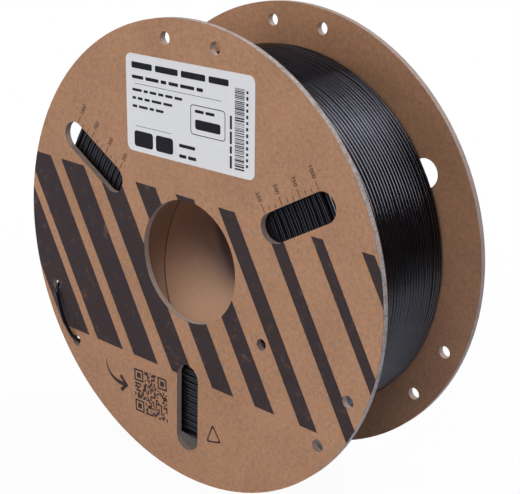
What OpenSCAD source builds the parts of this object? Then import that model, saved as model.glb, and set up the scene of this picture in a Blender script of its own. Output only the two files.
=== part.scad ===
// Cardboard filament spool, fully wound.
// The axis of the spool lies along Y, +Z is up and the printed front face looks towards -Y.
// The origin is on the axis, halfway between the outer faces of the two flanges.
// Angles on a flange are counted from +X towards +Z. All lengths are in millimetres.

/* [Spool] */
// Outer diameter of both flanges
flange_d = 200; // [170:1:230]
// Width over the outer faces of the two flanges
spool_w = 67.4; // [60:0.2:90]
// Diameter of the bore through each flange
bore_d = 53; // [30:0.5:60]

/* [Flange board] */
// Thickness of the greyboard disc
board_t = 2.3; // [1.5:0.1:4]
// Thickness of the kraft paper liner on each side of the board
liner_t = 0.25; // [0.1:0.05:0.5]

/* [Sight slots] */
// Number of slots in each flange
slot_count = 3; // [1:1:4]
// Width of a slot, with round ends
slot_w = 12.5; // [6:0.5:16]
// Distance from the axis to the inner end of a slot
slot_inner_r = 46.4; // [44:0.2:60]
// Distance from the outer end of a slot to the rim
slot_rim_gap = 13.2; // [12:0.2:20]
// Angle of the first slot
slot_angle = 30; // [25:1:35]

/* [Small holes] */
// Diameter of the rim holes that hold the free end of the filament
rim_hole_d = 5.4; // [4:0.1:6]
// Distance from the centre of a rim hole to the rim
rim_hole_inset = 8; // [7.8:0.1:9]
// Distance between the two holes of a pair
rim_hole_pitch = 27.4; // [24:0.2:32]
// Diameter of the hole that anchors the inner end of the filament
start_hole_d = 5; // [3:0.1:6]
// Distance from the axis to the centre of the anchor hole
start_hole_r = 47.6; // [45:0.2:60]

/* [Core tube] */
// Inner diameter of the tube
core_inner_d = 76; // [62:1:80]
// Thickness of the inner kraft ply
core_inner_ply_t = 0.4; // [0.2:0.1:0.8]
// Thickness of the greyboard plies
core_body_t = 2.2; // [1:0.1:3]
// Thickness of the outer kraft ply
core_outer_ply_t = 0.4; // [0.2:0.1:0.8]
// Thickness of the glue between the end of the tube and the flange
glue_t = 0.3; // [0.1:0.1:0.6]

/* [Filament] */
// Diameter of the filament
filament_d = 1.75; // [1.5:0.05:2]
// Distance from the outside of the winding to the rim
winding_rim_gap = 18.1; // [17:0.1:25]
// Turns in the outer layer
winding_turns = 24; // [4:1:24]
// Clearance between the winding and each flange
winding_side_gap = 0.3; // [0:0.1:1]
// Angle from the place where the free end leaves the winding to the middle of its pair of rim holes
tail_lead_angle = 37; // [30:1:44]
// Depth of the anchored end below the front face
start_depth = 0.8; // [0:0.1:2]

/* [Label] */
// Width of the label
label_w = 71.4; // [40:0.2:80]
// Height of the label
label_h = 40.8; // [20:0.2:44]
// Thickness of the label
label_t = 0.12; // [0.05:0.01:0.3]
// Radius of the label's corners
label_corner_r = 3; // [1:0.5:8]
// Place of the label's centre to the right of the axis
label_x = -0.4; // [-4:0.2:4]
// Distance from the top edge of the label to the top of the rim
label_rim_gap = 17.1; // [13.6:0.5:22]
// Tilt of the label
label_tilt = 1.2; // [-4:0.1:4]

/* [Hidden] */
$fn = 96;

kraft_colour = [0.66, 0.51, 0.38];
board_colour = [0.63, 0.60, 0.55];
glue_colour = [0.86, 0.80, 0.62];
filament_colour = [0.06, 0.06, 0.07];
label_colour = [0.90, 0.90, 0.91];

flange_t = board_t + 2 * liner_t;
front_y = -spool_w / 2;
front_inner_y = front_y + flange_t;
rear_inner_y = spool_w / 2 - flange_t;
flange_r = flange_d / 2;
slot_step = 360 / slot_count;
slot_outer_r = flange_r - slot_rim_gap;
rim_hole_r = flange_r - rim_hole_inset;
rim_pair_angle = slot_angle + slot_step / 2;
rim_hole_half_angle = asin(rim_hole_pitch / 2 / rim_hole_r);
start_hole_angle = slot_angle - slot_step / 2;

core_inner_r = core_inner_d / 2;
core_body_inner_r = core_inner_r + core_inner_ply_t;
core_body_outer_r = core_body_inner_r + core_body_t;
core_outer_r = core_body_outer_r + core_outer_ply_t;

// Outer layer of turns: one tube with a fixed number of rings in each turn and six sides.
turn_rings = 24;
turn_sides = 6;
filament_r = filament_d / 2;
turn_r = flange_r - winding_rim_gap - filament_r;
turn_front_y = front_inner_y + winding_side_gap + filament_r;
turn_rear_y = rear_inner_y - winding_side_gap - filament_r;
turn_pitch = (turn_rear_y - turn_front_y) / winding_turns;
turn_chord_r = turn_r * cos(180 / turn_rings);
turn_seat_gap = 0.05;
inner_layers_r = turn_chord_r - filament_r - turn_seat_gap;

// Route of the free end past the two rim holes at the lower left.
// Each point is [distance along the line between the holes, distance from the axis square to that
// line less that of the holes, depth below the front face].
tail_sides = 8;
tail_pair_angle = rim_pair_angle + slot_step;
tail_hole_line = rim_hole_r * cos(rim_hole_half_angle);
tail_points = [
    [-22.6, -6.7, 5.2],
    [-18.6, -3.7, 4.8],
    [-15.9, -1.7, 4.0],
    [-14.6, -0.8, 2.7],
    [-13.3, -0.4, 1.1],
    [-12.1, -0.3, -0.2],
    [-11.2, -0.3, -1.0],
    [-9.4, -0.3, -1.5],
    [-6.2, -0.2, -1.9],
    [-2.7, 0.0, -2.3],
    [0.8, 0.1, -2.6],
    [3.8, 0.1, -2.7],
    [6.6, 0.0, -2.4],
    [9.0, 0.0, -1.9],
    [10.8, 0.0, -1.2],
    [11.6, 0.0, -0.7],
    [12.3, 0.0, 0.1],
    [13.4, 0.0, 1.4],
    [14.6, 0.0, 2.7],
    [15.8, 0.0, 3.8],
    [17.6, -0.1, 5.1],
    [20.4, -0.3, 6.5],
    [23.6, -0.6, 7.6]
];

// Vectors at an angle on the flange: away from the axis, and along the rim towards larger angles.
function outward(angle) = [cos(angle), 0, sin(angle)];
function along(angle) = [-sin(angle), 0, cos(angle)];
function unit(v) = v / norm(v);

// Point of the winding's centre line: turn 0 lies at the rear flange, the last one at the front.
function turn_angle(turn) = tail_pair_angle - tail_lead_angle - 360 * (winding_turns - turn);
function turn_point(turn) =
    turn_r * outward(turn_angle(turn)) + [0, turn_rear_y - turn_pitch * turn, 0];
function turn_direction(turn) =
    unit(along(turn_angle(turn)) * 2 * PI * turn_r - [0, turn_pitch, 0]);

winding_steps = winding_turns * turn_rings;
winding_end = turn_point(winding_turns) + filament_d * turn_direction(winding_turns);
winding_path = concat(
    [turn_point(0) - filament_d * turn_direction(0)],
    [for (i = [0:winding_steps]) turn_point(i / turn_rings)],
    [winding_end]
);

// Least distance between the centre lines of neighbouring turns, less the filament's diameter.
turn_gap = min([
    for (i = [0:winding_steps - turn_rings], near = [-2:2])
        let (other = min(winding_steps, max(0, i + turn_rings + near)))
            norm(turn_point(i / turn_rings) - turn_point(other / turn_rings))
]) - filament_d;

// The free end first follows the straight line from the winding towards the first rim hole.
function tail_point(p) =
    p.x * along(tail_pair_angle)
    + (tail_hole_line + p.y) * outward(tail_pair_angle)
    + [0, front_y + p.z, 0];
tail_run_parts = 9;
tail_run_end = tail_point(tail_points[0]);
tail_path = concat(
    [winding_end, winding_end + filament_d * turn_direction(winding_turns)],
    [for (k = [1:tail_run_parts - 1]) winding_end + (tail_run_end - winding_end) * k / tail_run_parts],
    [for (p = tail_points) tail_point(p)]
);

// Direction of a path at one of its points.
function path_direction(path, i) =
    unit(path[min(i + 1, len(path) - 1)] - path[max(i - 1, 0)]);

// Tube of radius r along a path, closed at both ends. Each ring starts on the side that is turned
// towards aim[i], and every face is a triangle.
module tube(path, aim, r, sides) {
    rings = len(path);
    points = [
        for (i = [0:rings - 1])
            let (
                t = path_direction(path, i),
                b = unit(cross(t, aim[i])),
                n = cross(b, t)
            )
            for (k = [0:sides - 1])
                path[i] + r * (n * cos(360 * k / sides) + b * sin(360 * k / sides))
    ];
    skin = [
        for (i = [0:rings - 2], k = [0:sides - 1])
            let (
                a = i * sides + k,
                b = i * sides + (k + 1) % sides
            )
            each [[b, a, a + sides], [b, a + sides, b + sides]]
    ];
    last = (rings - 1) * sides;
    caps = [
        for (k = [1:sides - 2])
            each [[0, k, k + 1], [last, last + k + 1, last + k]]
    ];
    polyhedron(points = points, faces = concat(skin, caps), convexity = 10);
}

// Puts a flat outline on the plane y = depth and gives it the thickness t towards +Y.
module plate(depth, t) {
    translate([0, depth + t, 0])
        rotate([90, 0, 0])
            linear_extrude(height = t)
                children();
}

// Ring round the axis from y = depth, with length l.
module ring(inner_r, outer_r, depth, l) {
    plate(depth, l)
        difference() {
            circle(r = outer_r);
            circle(r = inner_r);
        }
}

// Outline of one sight slot along +X.
module slot_outline() {
    end_r = slot_w / 2;
    translate([slot_inner_r + end_r, -end_r])
        square([slot_outer_r - slot_inner_r - slot_w, slot_w]);
    for (x = [slot_inner_r + end_r, slot_outer_r - end_r])
        translate([x, 0])
            circle(r = end_r);
}

// Outline shared by the board and both liners of a flange: all of them are cut by the same die.
module flange_outline() {
    difference() {
        circle(r = flange_r, $fn = 180);
        circle(d = bore_d);
        for (k = [0:slot_count - 1]) {
            rotate(slot_angle + k * slot_step)
                slot_outline();
            for (side = [-1, 1])
                rotate(rim_pair_angle + k * slot_step + side * rim_hole_half_angle)
                    translate([rim_hole_r, 0])
                        circle(d = rim_hole_d, $fn = 32);
        }
        rotate(start_hole_angle)
            translate([start_hole_r, 0])
                circle(d = start_hole_d, $fn = 32);
    }
}

// One kraft liner, from y = depth.
module liner(depth) {
    color(kraft_colour)
        plate(depth, liner_t)
            flange_outline();
}

// One greyboard disc, from y = depth.
module board(depth) {
    color(board_colour)
        plate(depth, board_t)
            flange_outline();
}

// One layer of the core tube, between the two beads of glue.
module core_ply(inner_r, outer_r, colour) {
    start = front_inner_y + glue_t;
    color(colour)
        ring(inner_r, outer_r, start, rear_inner_y - glue_t - start);
}

// One bead of glue under the end of the core tube, from y = depth.
module glue_ring(depth) {
    color(glue_colour)
        ring(core_inner_r, core_outer_r, depth, glue_t);
}

module front_outer_liner() liner(front_y);
module front_board() board(front_y + liner_t);
module front_inner_liner() liner(front_inner_y - liner_t);
module rear_inner_liner() liner(rear_inner_y);
module rear_board() board(rear_inner_y + liner_t);
module rear_outer_liner() liner(rear_inner_y + liner_t + board_t);
module core_inner_ply() core_ply(core_inner_r, core_body_inner_r, kraft_colour);
module core_body_plies() core_ply(core_body_inner_r, core_body_outer_r, board_colour);
module core_outer_ply() core_ply(core_body_outer_r, core_outer_r, kraft_colour);
module front_glue_ring() glue_ring(front_inner_y);
module rear_glue_ring() glue_ring(rear_inner_y - glue_t);

module filament_inner_layers() {
    start = front_inner_y + winding_side_gap;
    color(filament_colour)
        ring(core_outer_r, inner_layers_r, start, rear_inner_y - winding_side_gap - start);
}

module filament_outer_layer() {
    aim = [
        for (p = winding_path)
            unit([p.x, 0, p.z])
    ];
    color(filament_colour)
        tube(winding_path, aim, filament_r, turn_sides);
}

module filament_tail() {
    aim = [
        for (p = tail_path)
            outward(tail_pair_angle)
    ];
    color(filament_colour)
        tube(tail_path, aim, filament_r, tail_sides);
}

// The anchored end passes straight through its hole and meets the side of the winding.
module filament_start() {
    start = front_y + start_depth;
    end = front_inner_y + winding_side_gap;
    color(filament_colour)
        translate(start_hole_r * outward(start_hole_angle))
            plate(start, end - start)
                circle(r = filament_r, $fn = 24);
}

module spool_label() {
    label_z = flange_r - label_rim_gap - label_h / 2;
    color(label_colour)
        plate(front_y - label_t, label_t)
            translate([label_x, label_z])
                rotate(label_tilt) {
                    for (size = [[label_w, label_h - 2 * label_corner_r],
                                 [label_w - 2 * label_corner_r, label_h]])
                        square(size, center = true);
                    for (sx = [-1, 1], sy = [-1, 1])
                        translate([sx * (label_w / 2 - label_corner_r), sy * (label_h / 2 - label_corner_r)])
                            circle(r = label_corner_r, $fn = 32);
                }
}

echo(least_gap_between_turns_mm = turn_gap);

front_outer_liner();
front_board();
front_inner_liner();
rear_inner_liner();
rear_board();
rear_outer_liner();
core_inner_ply();
core_body_plies();
core_outer_ply();
front_glue_ring();
rear_glue_ring();
filament_inner_layers();
filament_outer_layer();
filament_tail();
filament_start();
spool_label();
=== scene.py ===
"""A cardboard filament spool, wound full of black filament, as a Blender add-on.

The spool's axis is Y, its front face is turned to -Y, and it stands on its rims with Z up. Sizes are metres.
"""

import math
import random

import bmesh
import bpy
from bpy.props import FloatProperty, FloatVectorProperty, IntProperty, PointerProperty
from mathutils import Matrix, Vector
from mathutils.geometry import interpolate_bezier


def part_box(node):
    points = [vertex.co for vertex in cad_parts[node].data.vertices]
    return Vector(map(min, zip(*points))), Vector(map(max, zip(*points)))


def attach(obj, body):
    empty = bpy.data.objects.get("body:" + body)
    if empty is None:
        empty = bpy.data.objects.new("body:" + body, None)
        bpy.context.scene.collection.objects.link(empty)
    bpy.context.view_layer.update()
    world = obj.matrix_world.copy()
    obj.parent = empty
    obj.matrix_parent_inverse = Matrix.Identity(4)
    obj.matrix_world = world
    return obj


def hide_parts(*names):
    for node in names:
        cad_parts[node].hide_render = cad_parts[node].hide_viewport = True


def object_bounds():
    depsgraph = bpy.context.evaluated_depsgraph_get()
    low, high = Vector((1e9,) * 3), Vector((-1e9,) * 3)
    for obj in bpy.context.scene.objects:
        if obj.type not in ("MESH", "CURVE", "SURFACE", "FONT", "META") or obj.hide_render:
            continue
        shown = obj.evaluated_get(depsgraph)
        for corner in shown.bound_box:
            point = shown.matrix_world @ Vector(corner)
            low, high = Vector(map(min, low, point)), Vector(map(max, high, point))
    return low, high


bl_info = {
    "name": "Cardboard Filament Spool",
    "version": (1, 0, 0),
    "blender": (4, 5, 0),
    "location": "3D View > Sidebar > Spool",
    "description": "A cardboard spool wound full of black filament",
    "category": "Object",
}

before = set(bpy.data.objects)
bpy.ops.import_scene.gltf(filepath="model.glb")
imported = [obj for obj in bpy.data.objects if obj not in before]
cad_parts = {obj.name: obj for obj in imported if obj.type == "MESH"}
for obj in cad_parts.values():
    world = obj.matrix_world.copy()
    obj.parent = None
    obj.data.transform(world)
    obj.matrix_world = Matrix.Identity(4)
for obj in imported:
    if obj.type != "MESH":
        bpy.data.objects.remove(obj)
CAD_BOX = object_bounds()
MM = 0.001

# Places on the spool, taken from the frame.
FRONT_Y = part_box("front_outer_liner")[0][1]
INSIDE_FRONT_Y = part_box("front_inner_liner")[1][1]
FLANGE_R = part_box("front_outer_liner")[1][0]
CORE_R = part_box("core_outer_ply")[1][0]
LABEL_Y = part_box("spool_label")[0][1]

# The winding ends this far under the rim, and its turns keep this play from the flanges.
WINDING_DEPTH = 0.0181
WINDING_R = FLANGE_R - WINDING_DEPTH
SIDE_PLAY = 0.0003
ROUND_POINTS = 96  # Points round the inner layers.

# The rim holes lie in pairs. The free end passes through the pair at THREADED_ANGLE, and the anchored end
# lies in the small hole at ANCHOR_ANGLE.
RIM_HOLE_R = 0.092
RIM_HOLE_SPACING = 0.0274
HOLE_LINE_R = RIM_HOLE_R * math.cos(math.asin(RIM_HOLE_SPACING / 2 / RIM_HOLE_R))
THREADED_ANGLE = math.radians(210)
ANCHOR_R = 0.0476
ANCHOR_ANGLE = math.radians(-30)

# The ways of the two ends past their holes, in millimetres: along the rim, off the line through the rim
# holes or the small hole's middle, and below the front face.
FREE_END_STEPS = (
    (-22.6, -6.7, 5.2), (-18.6, -3.7, 4.8), (-15.9, -1.7, 4.0), (-14.6, -0.8, 2.7), (-13.3, -0.4, 1.1),
    (-12.1, -0.3, -0.2), (-11.2, -0.3, -1.0), (-9.4, -0.3, -1.5), (-6.2, -0.2, -1.9), (-2.7, 0, -2.3),
    (0.8, 0.1, -2.6), (3.8, 0.1, -2.7), (6.6, 0, -2.4), (9.0, 0, -2.0), (11.0, 0, -1.5), (12.4, -0.1, -0.8),
    (13.4, -0.1, 0.1), (14.3, -0.1, 1.3), (15.0, -0.2, 2.6), (16.0, -0.2, 3.8), (17.7, -0.3, 5.1),
    (20.4, -0.4, 6.5), (23.6, -0.6, 7.6),
)
ANCHORED_END_STEPS = (
    (7.0, -1.2, 4.4), (4.2, -0.7, 4.1), (2.0, -0.2, 3.4), (0.7, 0.1, 2.3), (0.1, 0.3, 1.4), (-0.1, 0.4, 0.8),
)

# How far print stands out of its face, and how far it reaches into it.
PRINT_LIFT = 0.00002
PRINT_SINK = 0.00003

# The soft panels that light the spool, and the ones that it only mirrors: azimuth and elevation in degrees,
# then width and height. Each stands PANEL_DISTANCE away.
PANEL_DISTANCE = 1.6
LIGHT_PANELS = {
    "low_front_light": (256, 8, 0.85, 0.8),
    "front_light": (288, 36, 0.85, 0.8),
    "left_light": (190, 8, 0.85, 0.8),
    "back_light": (80, 36, 0.85, 0.8),
    "low_back_light": (80, 8, 0.85, 0.8),
}
GLOSS_PANELS = {
    "gloss_low": (40, 28, 1.47, 0.5),
    "gloss_middle": (40, 46, 1.26, 0.5),
    "gloss_high": (40, 64, 0.97, 0.5),
    "gloss_front": (320, 56, 1.5, 0.62),
    "gloss_top": (0, 84, 0.3, 0.5),
    "gloss_over": (180, 66, 1.4, 0.9),
    "gloss_left": (230, 28, 1.7, 1.5),
}


def srgb(*steps):
    """A colour given in 0 to 255 steps, as the linear numbers that Blender mixes."""
    shares = [step / 255 for step in steps]
    return tuple(share / 12.92 if share <= 0.04045 else ((share + 0.055) / 1.055) ** 2.4 for share in shares)


def shaded(colour, share):
    """A colour made darker, or brighter where the share is over 1."""
    return [part * share for part in colour]


def outward(angle):
    """The direction away from the spool's axis at an angle from +X towards +Z."""
    return Vector((math.cos(angle), 0, math.sin(angle)))


def along(angle):
    """The direction along the rim at an angle, towards greater angles."""
    return Vector((-math.sin(angle), 0, math.cos(angle)))


# ---------------------------------------------------------------------------------------------
# Settings
# ---------------------------------------------------------------------------------------------


def setting(kind, name, description, default, **limits):
    """One property, of a kind such as FloatProperty."""
    return kind(name=name, description=description, default=default, **limits)


def colour_setting(name, what, colour):
    return setting(
        FloatVectorProperty, name, f"Colour of {what}", colour, subtype="COLOR", size=3, min=0, max=1
    )


def length_setting(name, description, metres):
    return setting(
        FloatProperty, name, description, metres, min=0, max=1, precision=5, subtype="DISTANCE", unit="LENGTH"
    )


def level_setting(name, description, metres):
    return setting(FloatProperty, name, description, metres, unit="LENGTH")


def place_setting(name, description, metres):
    return setting(FloatVectorProperty, name, description, metres, size=len(metres), unit="LENGTH")


def angle_setting(name, description, degrees):
    return setting(FloatProperty, name, description, math.radians(degrees), subtype="ANGLE", unit="ROTATION")


def share_setting(name, description, share):
    return setting(FloatProperty, name, description, share, min=0, max=1)


def count_setting(name, description, count, least):
    return setting(IntProperty, name, description, count, min=least)


def light_setting(name, what, brightness):
    return setting(FloatProperty, name, f"Brightness of {what}", brightness, min=0)


class SpoolBoardSettings(bpy.types.PropertyGroup):
    """Colours of the flanges and the core tube."""

    kraft: colour_setting("Kraft", "the kraft paper on the flanges", srgb(180, 138, 107))
    kraft_dark: colour_setting("Kraft, dark fibres", "the kraft paper's darker fibres", srgb(143, 108, 83))
    kraft_warm: colour_setting("Kraft, warm patches", "the kraft paper's warmer patches", srgb(180, 128, 88))
    grey: colour_setting("Greyboard", "the cut greyboard edges", srgb(200, 180, 168))
    grey_rim: colour_setting("Greyboard rim", "the front rim, rubbed pale", srgb(210, 201, 195))
    grey_dark: colour_setting("Greyboard, dark plies", "the cut edges' darker plies", srgb(142, 127, 117))
    tube: colour_setting("Tube paper", "the paper inside the core tube", srgb(183, 144, 115))
    # Painted shade: a dark brown that stands in for the shadow at the far end of the tube, by the rear
    # flange.
    tube_end_shade: colour_setting("Tube end", "the far end of the paper inside the core tube", srgb(60, 26, 10))
    seam: colour_setting("Seam", "the core's spiral seam", srgb(84, 45, 34))
    seam_lead: length_setting("Seam lead", "How far the seam runs along the axis in one turn", 0.09324)
    seam_start: level_setting("Seam start", "Where the seam passes the tube's right side", 0.0393803)
    glue: colour_setting("Glue", "the glue between core and flanges", srgb(196, 176, 140))


class SpoolPrintSettings(bpy.types.PropertyGroup):
    """The printed band and the small marks on the front flange."""

    ink: colour_setting("Ink", "the dark ink", srgb(50, 41, 42))
    fine_ink: colour_setting("Fine ink", "the thin gauge marks", srgb(70, 50, 40))
    band_low: level_setting("Band bottom", "Lower edge of the printed band", -0.052)
    band_high: level_setting("Band top", "Upper edge of the printed band", 0.028)
    bar_start: length_setting("Bar start", "How far left of the axis the first bar starts", 0.1115)
    bar_pitch: length_setting("Bar pitch", "Distance from one slanted bar to the next", 0.024)
    bar_lean: angle_setting("Bar lean", "How far the bars lean from upright", 30)
    widest: share_setting("Widest bar", "Share of the pitch that the first bar fills", 0.78)
    narrowest: share_setting("Narrowest bar", "Share of the pitch that the last bar fills", 0.25)
    slot_angle: angle_setting("First slot", "Angle of the first winding window from +X", 30)
    gauge_start: length_setting("Gauge start", "Distance of the first long gauge mark from the axis", 0.0514)
    gauge_step: length_setting("Gauge step", "Distance between two long gauge marks", 0.01007)
    code_place: place_setting("Code place", "The code block's middle, across and up", (-0.02255, -0.06825))
    code_size: length_setting("Code size", "Width of the code block", 0.0205)
    code_tilt: angle_setting("Code tilt", "How far the code block is turned", 2.5)


class SpoolWindingSettings(bpy.types.PropertyGroup):
    """The filament and how it is wound."""

    filament: length_setting("Filament diameter", "Diameter of the filament", 0.00175)
    colour: colour_setting("Filament", "the filament", srgb(15, 14, 17))
    roughness: share_setting("Filament roughness", "Roughness of the filament", 0.15)
    turns: count_setting("Turns in a layer", "Turns of the outer layer", 32, 1)
    points: count_setting("Points per turn", "Points along one turn of the outer layer", 120, 12)
    end_angle: angle_setting("Winding end", "Angle at which the last turn leaves the winding", 173)
    layers: count_setting("Inner layers", "Layers whose turns are seen beside the flanges", 25, 1)
    layer_step: length_setting("Layer step", "Distance from one layer of turns to the next", 0.00152)
    wobble: length_setting("Wobble", "How far single turns stray from an even layer", 0.0002)
    swell: length_setting("Swell", "How far the whole layer swells and sinks round the spool", 0.0003)
    rise: length_setting("Rise", "How much higher the outer layer starts at the rear flange", 0.0006)
    slack: length_setting("Slack", "How far the last turns hang below the winding", 0.0014)
    gap: length_setting("Gap", "Width of the gap that stays open near the rear flange", 0.0015)
    gap_turns: setting(FloatProperty, "Gap turns", "Turns between the gap and the rear flange", 2.68, min=0)
    gap_closed: angle_setting("Gap closed at", "Angle at which a turn crosses the gap and closes it", 57)


class SpoolLabelSettings(bpy.types.PropertyGroup):
    """The paper label and its bare print."""

    paper: colour_setting("Label paper", "the label", srgb(221, 221, 219))
    ink: colour_setting("Label ink", "the print on the label", srgb(26, 26, 31))
    width: length_setting("Label width", "Width of the label", 0.0714)
    height: length_setting("Label height", "Height of the label", 0.0408)
    centre: place_setting("Label centre", "Place of the label's middle across and up", (-0.0004, 0.0625))
    tilt: angle_setting("Label tilt", "How far the label is turned", 1.2)


class SpoolStageSettings(bpy.types.PropertyGroup):
    """Camera, lamps and floor."""

    camera_place: place_setting("Camera place", "Where the camera stands", (0.35436, -0.39034, 0.18831))
    azimuth: angle_setting("Azimuth", "Angle of the view round the vertical", 41.46)
    elevation: angle_setting("Elevation", "Angle of the view above the floor", 19.79)
    roll: angle_setting("Roll", "Turn of the camera about its own axis", 1.48)
    lens: setting(FloatProperty, "Lens", "Focal length in millimetres", 90.118)
    low_front_light: light_setting("Low front light", "the low panel in front, on the left", 5.6)
    front_light: light_setting("Front light", "the higher panel in front", 4.3)
    left_light: light_setting("Left light", "the low panel on the left", 3.1)
    back_light: light_setting("Back light", "the panel behind the spool, on the right", 11.0)
    low_back_light: light_setting("Low back light", "the panel under the back light", 4.1)
    gloss_low: light_setting("Low gloss", "the lowest panel on the right that the winding mirrors", 5.7)
    gloss_middle: light_setting("Middle gloss", "the middle panel on the right, mirrored likewise", 5.2)
    gloss_high: light_setting("High gloss", "the highest panel on the right, mirrored likewise", 7.8)
    gloss_front: light_setting("Front gloss", "the panel in front that the winding mirrors", 2.5)
    gloss_top: light_setting("Top gloss", "the panel overhead that the winding's top mirrors", 5.0)
    gloss_over: light_setting("Dim gloss", "the dim panel high up on the left", 0.1)
    gloss_left: light_setting("Left gloss", "the panel on the left that the winding mirrors", 0.78)
    cool: colour_setting("Gloss tint", "the panels that the winding mirrors", (0.8, 0.82, 1.0))
    room: light_setting("Room light", "the even light from all round", 0.07)
    shade: colour_setting("Room tint", "the even light", (0.8, 0.72, 1.0))
    floor: colour_setting("Floor", "the floor", (0.73, 0.78, 0.92))
    floor_under: colour_setting("Floor between the rims", "the floor between the rims", (1.0, 0.95, 0.88))


# ---------------------------------------------------------------------------------------------
# Node trees
# ---------------------------------------------------------------------------------------------


class Value:
    """What a node gives at one of its outputs. A sum written with it adds the nodes that work it out."""

    def __init__(self, nodes, socket):
        self.nodes, self.socket = nodes, socket

    def __add__(self, other):
        return self.nodes.math("ADD", self, other)

    def __sub__(self, other):
        return self.nodes.math("SUBTRACT", self, other)

    def __rsub__(self, other):
        return self.nodes.math("SUBTRACT", other, self)

    def __mul__(self, other):
        return self.nodes.math("MULTIPLY", self, other)

    def __truediv__(self, other):
        return self.nodes.math("DIVIDE", self, other)


class Nodes:
    """Adds nodes to one tree and links them. A node's inputs may be fed with plain data, values or nodes."""

    def __init__(self, tree):
        self.tree = tree

    def feed(self, socket, source):
        if isinstance(source, bpy.types.Node):
            source = source.outputs[0]
        if isinstance(source, Value):
            source = source.socket
        if isinstance(source, bpy.types.NodeSocket):
            self.tree.links.new(source, socket)
        elif socket.type == "RGBA":
            socket.default_value = (*source[:3], 1)
        else:
            socket.default_value = source

    def add(self, kind, inputs=None, **settings):
        node = self.tree.nodes.new(kind)
        for name, choice in settings.items():
            setattr(node, name, choice)
        for name, source in (inputs or {}).items():
            self.feed(node.inputs[name], source)
        return node

    def value(self, kind, inputs=None, output=0, **settings):
        """What a new node gives at one of its outputs."""
        return Value(self, self.add(kind, inputs, **settings).outputs[output])

    def math(self, operation, *sources):
        return self.value("ShaderNodeMath", dict(enumerate(sources)), operation=operation)

    def vector(self, operation, *sources):
        return self.value("ShaderNodeVectorMath", dict(enumerate(sources)), operation=operation)

    def length(self, vector):
        return self.value("ShaderNodeVectorMath", {0: vector}, "Value", operation="LENGTH")

    def point(self, x, y, z):
        return self.value("ShaderNodeCombineXYZ", {0: x, 1: y, 2: z})

    def split(self, vector):
        return [Value(self, part) for part in self.add("ShaderNodeSeparateXYZ", {0: vector}).outputs]

    def ramp(self, source, low, high, to_low=0.0, to_high=1.0, smooth=True):
        return self.value(
            "ShaderNodeMapRange",
            {0: source, 1: low, 2: high, 3: to_low, 4: to_high},
            interpolation_type="SMOOTHSTEP" if smooth else "LINEAR",
        )

    def noise(self, place, scale, detail=2.0, roughness=0.5):
        inputs = {"Vector": place, "Scale": scale, "Detail": detail, "Roughness": roughness}
        return self.value("ShaderNodeTexNoise", inputs)

    def noise_along(self, distance, scale, detail):
        inputs = {"W": distance, "Scale": scale, "Detail": detail}
        return self.value("ShaderNodeTexNoise", inputs, noise_dimensions="1D")

    def mix(self, share, first, second):
        return self.value("ShaderNodeMix", {0: share, 6: first, 7: second}, 2, data_type="RGBA")

    def camera_rays(self):
        return self.value("ShaderNodeLightPath", output="Is Camera Ray")


class Finish(Nodes):
    """The nodes of a new material with a Principled shader, whose patterns lie on Object coordinates."""

    def __init__(self, name, qualities):
        self.material = bpy.data.materials.new(name)
        self.material.use_nodes = True
        super().__init__(self.material.node_tree)
        self.tree.nodes.clear()
        self.shader = self.add("ShaderNodeBsdfPrincipled", qualities)
        self.output = self.add("ShaderNodeOutputMaterial", {"Surface": self.shader})
        self.place = self.value("ShaderNodeTexCoord", output="Object")

    def surface(self, quality, source):
        self.feed(self.shader.inputs[quality], source)

    def relief(self, height, distance):
        """The small relief that a height from 0 to 1 stands for."""
        self.surface("Normal", self.add("ShaderNodeBump", {"Distance": distance, "Height": height}))


def paper_fibres(nodes, place, seed):
    """Short thin fibres lying in all directions of a sheet across the Y axis, from 0 to 1."""
    directions, bend_scale, bend_reach = 4, 260.0, 0.0022
    fibre_scale = (330.0, 900.0, 4200.0)  # Along a fibre, through the sheet and across the fibre.
    bends = nodes.value("ShaderNodeTexNoise", {"Vector": place, "Scale": bend_scale, "Detail": 1.0}, "Color")
    drift = nodes.value("ShaderNodeVectorMath", {0: bends, "Scale": bend_reach}, operation="SCALE")
    bent = nodes.vector("ADD", place, drift)
    total = None
    for turn in range(directions):
        rotation = (0, math.radians(180 / directions * turn + seed), 0)
        turned = nodes.add("ShaderNodeMapping", {"Vector": bent, "Rotation": rotation})
        drawn = nodes.vector("MULTIPLY", turned, fibre_scale)
        streak = nodes.ramp(nodes.noise(drawn, 1.0, 1.0), 0.58, 0.74)
        total = streak if total is None else nodes.math("MAXIMUM", total, streak)
    return total


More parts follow.
